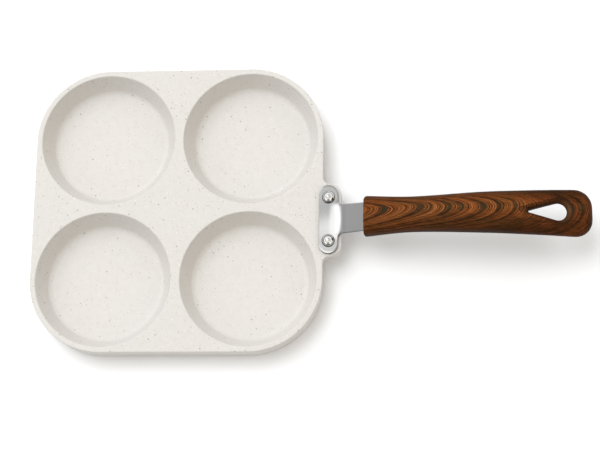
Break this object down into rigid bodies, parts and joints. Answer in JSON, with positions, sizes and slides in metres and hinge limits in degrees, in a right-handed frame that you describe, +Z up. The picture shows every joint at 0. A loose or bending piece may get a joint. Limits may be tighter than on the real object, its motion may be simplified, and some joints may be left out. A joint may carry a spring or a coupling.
{
  "type": "pancake pan",
  "caption": "Square coated pan with round shallow cups for small pancakes or eggs, and a riveted steel bracket that carries a wood-look grip with a hanging hole.",
  "frame": {"origin": "under the centre of the square pan, in the plane of the cup floors that it stands on", "axes": "+X from the pan's centre out along the handle, +Z up out of the cups, +Y to the left of the handle seen from above with the handle pointing away"},
  "size_m": [0.361, 0.19, 0.0415],
  "materials": {
    "speckled_coating": "cast aluminium with a satin cream coating, finely speckled",
    "bracket_steel": "stamped stainless steel, satin polished",
    "rivet_steel": "polished stainless steel",
    "wood_print": "moulded phenolic with a satin wood-grain print",
    "plated_steel": "zinc plated"
  },
  "bodies": {
    "root": {"pan_body": "speckled_coating", "handle_bracket": "bracket_steel", "bracket_rivet_left": "rivet_steel", "bracket_rivet_right": "rivet_steel", "handle_grip": "wood_print", "grip_screw": "plated_steel", "screw_spring_washer": "plated_steel"}
  },
  "joints": []
}
